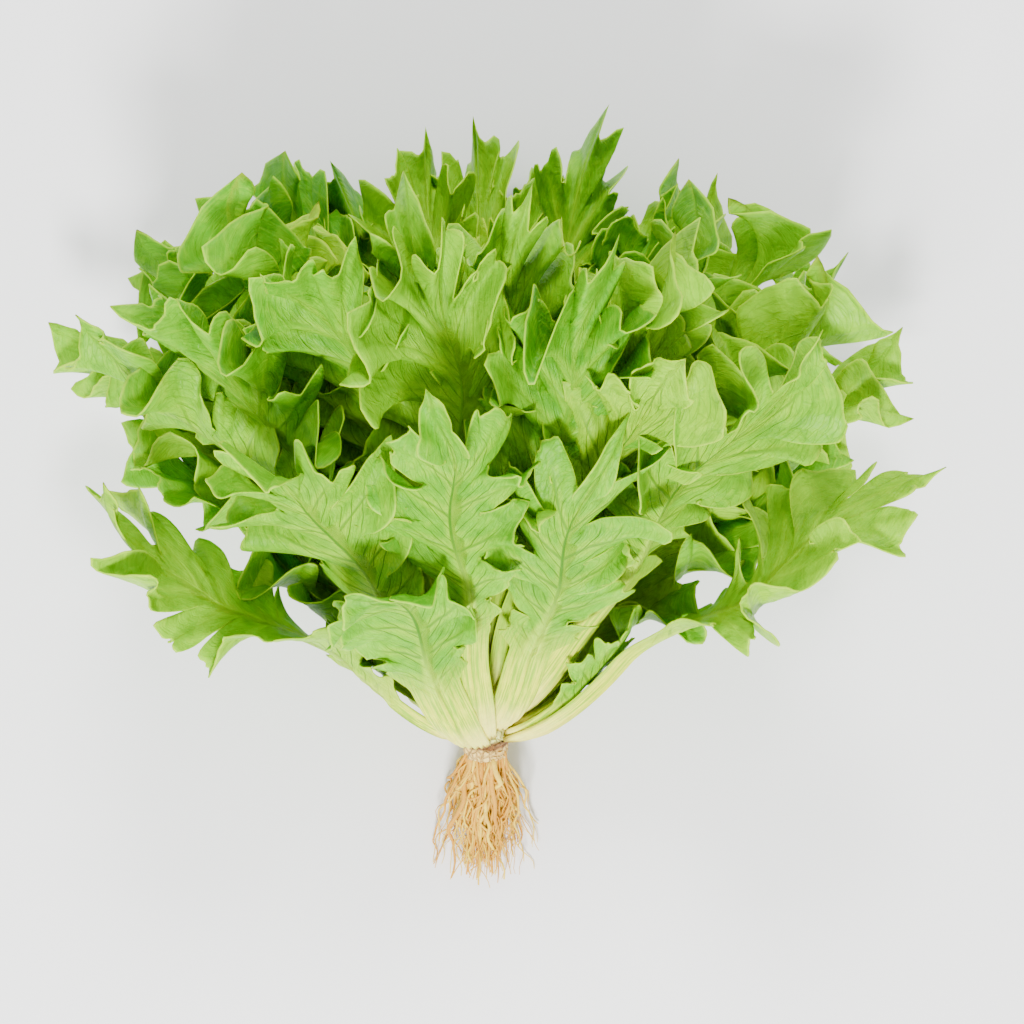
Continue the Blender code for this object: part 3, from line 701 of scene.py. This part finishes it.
def stem_material():
    n = Nodes("stem_look")
    h = n.attr("height")
    grain = n.noise(1.0, 4.0, n.vec(n.math("MULTIPLY", n.attr("turn"), 9.0), n.math("MULTIPLY", h, 0.10)))
    spots = n.noise(420.0, 4.0, rough=0.65)
    pale = n.mix(n.ramp(grain, 0.35, 0.65), srgb(240, 238, 150), srgb(212, 216, 96))
    scale = n.cells(n.vec(n.math("MULTIPLY", n.attr("turn"), 3.2), n.math("MULTIPLY", h, 0.34)), 1.0)
    tan = n.mix(n.ramp(scale, 0.02, 0.3, 0.5, 1.0), srgb(190, 136, 56), srgb(246, 210, 118))
    ring = n.mix(n.ramp(spots, 0.35, 0.65), srgb(136, 82, 18), srgb(80, 42, 6))
    edge = n.math("ADD", h, n.math("MULTIPLY", n.noise(120.0, 3.0), 3.0))
    color = n.mix(n.ramp(edge, -1.4, 0.6), tan, pale)
    band = n.math("MULTIPLY", n.ramp(edge, -2.9, -1.7), n.ramp(edge, 1.4, 2.6, 1.0, 0.0))
    color = n.mix(n.math("MULTIPLY", band, 0.95), color, ring)
    n.put(n.shader.inputs["Base Color"], color)
    n.put(n.shader.inputs["Roughness"], n.ramp(spots, 0.3, 0.7, 0.55, 0.75))
    n.shader.inputs["Subsurface Weight"].default_value = 0.15
    n.shader.inputs["Subsurface Radius"].default_value = (1.0, 0.7, 0.3)
    n.shader.inputs["Subsurface Scale"].default_value = 0.002
    n.put(n.shader.inputs["Normal"], n.bump(n.math("ADD", n.ramp(scale, 0.0, 0.2), spots), 0.0010, 0.9))
    return n.mat


def root_material():
    n = Nodes("root_look")
    tone, along = n.attr("tone"), n.attr("along")
    speck = n.noise(520.0, 4.0, rough=0.65)
    streak = n.noise(1.0, 3.0, n.vec(n.math("MULTIPLY", along, 3.0), n.math("MULTIPLY", tone, 60.0)))
    color = n.mix(n.ramp(tone, 0.1, 0.9), srgb(242, 208, 64), srgb(214, 154, 20))
    color = n.mix(n.ramp(streak, 0.4, 0.7, 0.0, 0.55), color, srgb(184, 120, 16))
    color = n.mix(n.ramp(speck, 0.55, 0.75, 0.0, 0.45), color, srgb(160, 98, 26))
    n.put(n.shader.inputs["Base Color"], color)
    n.put(n.shader.inputs["Roughness"], n.ramp(speck, 0.3, 0.7, 0.6, 0.8))
    n.shader.inputs["Subsurface Weight"].default_value = 0.2
    n.shader.inputs["Subsurface Radius"].default_value = (1.0, 0.7, 0.35)
    n.shader.inputs["Subsurface Scale"].default_value = 0.0012
    n.put(n.shader.inputs["Normal"], n.bump(speck, 0.0004, 0.8))
    return n.mat


# ---------------------------------------------------------------- stem and roots
def stem_profile():
    rows = [(COLLAR_R * 0.94, -COLLAR_H), (COLLAR_R, -COLLAR_H + 2.0), (COLLAR_R, -3.5), (STEM_R - 1.2, -1.2)]
    for q in (1.0, 0.8, 0.6, 0.4, 0.2, 0.06):
        radius, height = stalk_root(q * LAYER_OUT)
        rows.append((radius - 0.85, height))
    rows.append((0.6, STEM_TOP + 0.2))
    return rows


def raw_stem_low():
    """The stem's lowest corner before the part is centred."""
    low = np.full(3, 1e9)
    for radius, height in stem_profile():
        a = np.arange(14) * 2 * math.pi / 14
        ring = JUNCTION + AXIS * height + radius * (np.cos(a)[:, None] * SIDE + np.sin(a)[:, None] * UP)
        low = np.minimum(low, ring.min(axis=0))
    return low


SHIFT = np.array(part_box("stem")[0]) / MM - raw_stem_low()


def tube_set(name, lines, skin, extra=None):
    """Closed round strands along lines of points, with a radius at each point, in one mesh."""
    sides = 6
    points, faces, tone, along = [], [], [], []
    for line, radii, shade in lines:
        steps = len(line)
        d = np.gradient(line, axis=0)
        d /= np.linalg.norm(d, axis=1, keepdims=True)
        ref = np.array([0.31, 0.27, 0.91])
        u = np.cross(d, ref)
        u /= np.linalg.norm(u, axis=1, keepdims=True)
        v = np.cross(d, u)
        base = len(points)
        for k in range(steps):
            for j in range(sides):
                a = 2 * math.pi * j / sides
                points.append(line[k] + radii[k] * (math.cos(a) * u[k] + math.sin(a) * v[k]))
                tone.append(shade)
                along.append(k / (steps - 1))
        points += [line[0], line[-1]]
        tone += [shade, shade]
        along += [0.0, 1.0]
        for k in range(steps - 1):
            for j in range(sides):
                e = (j + 1) % sides
                faces.append((base + k * sides + j, base + k * sides + e, base + (k + 1) * sides + e, base + (k + 1) * sides + j))
        first, last = base + steps * sides, base + steps * sides + 1
        for j in range(sides):
            e = (j + 1) % sides
            faces.append((first, base + e, base + j))
            faces.append((last, base + (steps - 1) * sides + j, base + (steps - 1) * sides + e))
    mesh = bpy.data.meshes.new(name)
    mesh.from_pydata(((np.array(points) + SHIFT) * MM).tolist(), [], faces)
    mesh.update()
    for key, value in (("tone", tone), ("along", along)):
        at = mesh.attributes.new(key, "FLOAT", "POINT")
        at.data.foreach_set("value", np.array(value, dtype=np.float32))
    mesh.materials.append(skin)
    mesh.shade_smooth()
    obj = bpy.data.objects.new(name, mesh)
    bpy.context.scene.collection.objects.link(obj)
    return obj


def root_strand(rng, start, reach, length, radius, wander, floor_gap, droop=1.0):
    """One root: out of the collar along the axis, then sagging to the surface."""
    steps = 24
    t = np.linspace(0, 1, steps)
    begin = JUNCTION - AXIS * (COLLAR_H - 1.5) + SIDE * start[0] + UP * start[1]
    line = np.zeros((steps, 3))
    a, b, c, d = rng.uniform(0, 2 * math.pi, 4)
    w = wander * smooth(t / 0.25)
    line[:, 0] = begin[0] + reach * t**1.15 + w * (np.sin(6.5 * t + a) - math.sin(a)) + 0.45 * w * np.sin(15 * t + b) + 0.2 * w * np.sin(31 * t + d)
    line[:, 1] = begin[1] - length * (t + 0.03 * np.sin(9 * t + c)) + 0.35 * w * np.sin(19 * t + d)
    low = floor_gap
    sag = smooth(t * rng.uniform(1.0, 1.3)) ** 0.95 * droop
    line[:, 2] = begin[2] * (1 - sag) + low * sag + 0.7 * w * np.sin(8 * t + d) * (1 - 0.5 * t) + 0.3 * w * np.sin(17 * t + a)
    radii = radius * (1.0 - 0.72 * t**1.2)
    line[:, 2] = np.maximum(line[:, 2], radii + 0.15)
    return line, radii, rng.uniform(0, 1)


def make_roots(skin):
    rng = np.random.default_rng(41)
    made = []
    tuft = []
    for i in range(220):
        ang, rr = rng.uniform(0, 2 * math.pi), math.sqrt(rng.uniform(0, 1)) * COLLAR_R * 0.84
        start = (rr * math.cos(ang), rr * math.sin(ang))
        thick = rng.uniform(0.28, 0.75) if i > 34 else rng.uniform(0.8, 1.35)
        reach = start[0] * rng.uniform(-0.3, 0.7) + rng.normal(-1.0, 4.6)
        length = rng.uniform(0.4, 1.0) ** 0.7 * 55.0
        tuft.append(root_strand(rng, start, reach, length, thick, rng.uniform(0.8, 3.6), rng.uniform(0.4, 12.0)))
    made.append((tube_set("root_tuft_strands", tuft, skin), "root_tuft"))
    for node, x, reach, length in (
        ("root_left", -7.0, -10.0, 42.0), ("root_left_long", -6.6, -17.0, 52.0),
        ("root_right", 7.0, 9.0, 44.0), ("root_right_long", 6.6, 16.0, 54.0),
    ):
        some = []
        for i in range(9):
            start = (x + rng.normal(0, 0.8), rng.uniform(-3.5, 3.5))
            some.append(root_strand(rng, start, reach * rng.uniform(0.55, 1.0), length * rng.uniform(0.6, 1.0),
                                    rng.uniform(0.3, 0.8), rng.uniform(0.8, 2.4), rng.uniform(0.4, 7.0)))
        made.append((tube_set(node + "_strands", some, skin), node))
    return made


def make_stem(skin):
    rows = stem_profile()
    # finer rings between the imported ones, with the lumps of a cut collar
    h = np.array([r[1] for r in rows])
    r = np.array([r[0] for r in rows])
    hs = np.concatenate([np.linspace(-COLLAR_H, 2.0, 26), np.linspace(3.0, STEM_TOP + 0.2, 16)])
    rs = np.interp(hs, h, r)
    count = 64
    turn = np.arange(count) * 2 * math.pi / count
    points, heights, turns = [], [], []
    for hh, rr in zip(hs, rs):
        lump = 0.34 * np.sin(9 * turn + hh * 0.9) + 0.26 * np.sin(17 * turn + 2.0 + hh * 1.4) + 0.16 * np.sin(31 * turn - hh * 1.7)
        fade = 1.0 if hh < 1.0 else 0.25
        rad = rr + lump * fade + (0.5 * math.exp(-((hh + 0.6) / 0.9) ** 2))
        ring = JUNCTION + AXIS * hh + rad[:, None] * (np.cos(turn)[:, None] * SIDE + np.sin(turn)[:, None] * UP)
        points.append(ring)
        heights += [hh] * count
        turns += list(np.abs(turn / math.pi - 1.0) * 4.0)
    points = np.concatenate(points)
    ends = [points[:count].mean(axis=0), points[-count:].mean(axis=0)]
    n = len(points)
    points = np.concatenate([points, ends])
    faces = []
    for k in range(len(hs) - 1):
        for j in range(count):
            e = (j + 1) % count
            faces.append((k * count + e, k * count + j, (k + 1) * count + j, (k + 1) * count + e))
    last = (len(hs) - 1) * count
    for j in range(count):
        e = (j + 1) % count
        faces.append((n, j, e))
        faces.append((n + 1, last + e, last + j))
    mesh = bpy.data.meshes.new("stem_body")
    mesh.from_pydata(((points + SHIFT) * MM).tolist(), [], faces)
    mesh.update()
    for key, value in (("height", heights + [-COLLAR_H, STEM_TOP]), ("turn", turns + [0.0, 0.0])):
        at = mesh.attributes.new(key, "FLOAT", "POINT")
        at.data.foreach_set("value", np.array(value, dtype=np.float32))
    mesh.materials.append(skin)
    mesh.shade_smooth()
    obj = bpy.data.objects.new("stem_body", mesh)
    bpy.context.scene.collection.objects.link(obj)
    bm = bmesh.new()
    bm.from_mesh(mesh)
    bmesh.ops.recalc_face_normals(bm, faces=bm.faces)
    bm.to_mesh(mesh)
    bm.free()
    return obj


# ---------------------------------------------------------------- the head
def keep(piece, node):
    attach(piece, "root")
    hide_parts(node)


def build_head():
    skins = {kind: leaf_material(f"leaf_{kind}_look", look) for kind, look in LOOKS.items()}
    tones = np.random.default_rng(5)
    for i, row in enumerate(leaves()):
        kind = row[0].split("_")[1]
        outer, inner, data = leaf_mesh(row, dict(STYLE[kind], **FRONT.get(row[0], {})), 100 + i)
        tint = FRONT.get(row[0], {}).get("tint", float(tones.uniform(0, 1)))
        obj = grid_object(row[0] + "_blade", outer, inner, data, skins[kind], tint)
        keep(obj, row[0])
    keep(make_stem(stem_material()), "stem")
    for piece, node in make_roots(root_material()):
        keep(piece, node)


def build_stage():
    mesh = bpy.data.meshes.new("floor")
    mesh.from_pydata([(-6, -6, 0), (6, -6, 0), (6, 6, 0), (-6, 6, 0)], [], [(0, 1, 2, 3)])
    floor = bpy.data.objects.new("floor", mesh)
    bpy.context.scene.collection.objects.link(floor)
    n = Nodes("floor_look")
    n.shader.inputs["Base Color"].default_value = (0.93, 0.93, 0.93, 1.0)
    n.shader.inputs["Roughness"].default_value = 0.85
    mesh.materials.append(n.mat)

    world = bpy.data.worlds.new("studio")
    bpy.context.scene.world = world
    world.use_nodes = True
    world.node_tree.nodes["Background"].inputs["Color"].default_value = (1.0, 1.0, 1.0, 1.0)
    world.node_tree.nodes["Background"].inputs["Strength"].default_value = 1.10

    def lamp(name, place, aim, size, power):
        data = bpy.data.lights.new(name, "AREA")
        data.shape = "SQUARE"
        data.size = size
        data.energy = power
        obj = bpy.data.objects.new(name, data)
        bpy.context.scene.collection.objects.link(obj)
        obj.location = place
        direction = Vector(aim) - Vector(place)
        obj.rotation_euler = direction.to_track_quat("-Z", "Y").to_euler()

    lamp("key", (-0.12, -0.98, 1.15), (0, 0.0, 0.05), 0.34, 47.0)
    lamp("back", (0.05, 1.2, 1.2), (0, 0.05, 0.05), 0.4, 28.0)

    camera = bpy.data.cameras.new("camera")
    camera.lens = CAMERA_LENS
    camera.sensor_width = 36.0
    obj = bpy.data.objects.new("camera", camera)
    bpy.context.scene.collection.objects.link(obj)
    obj.location = CAMERA_AT
    obj.rotation_euler = (0.0, 0.0, 0.0)
    bpy.context.scene.camera = obj


CAMERA_LENS = 98.8
CAMERA_AT = (0.011, 0.0006, 1.16)

build_head()
build_stage()
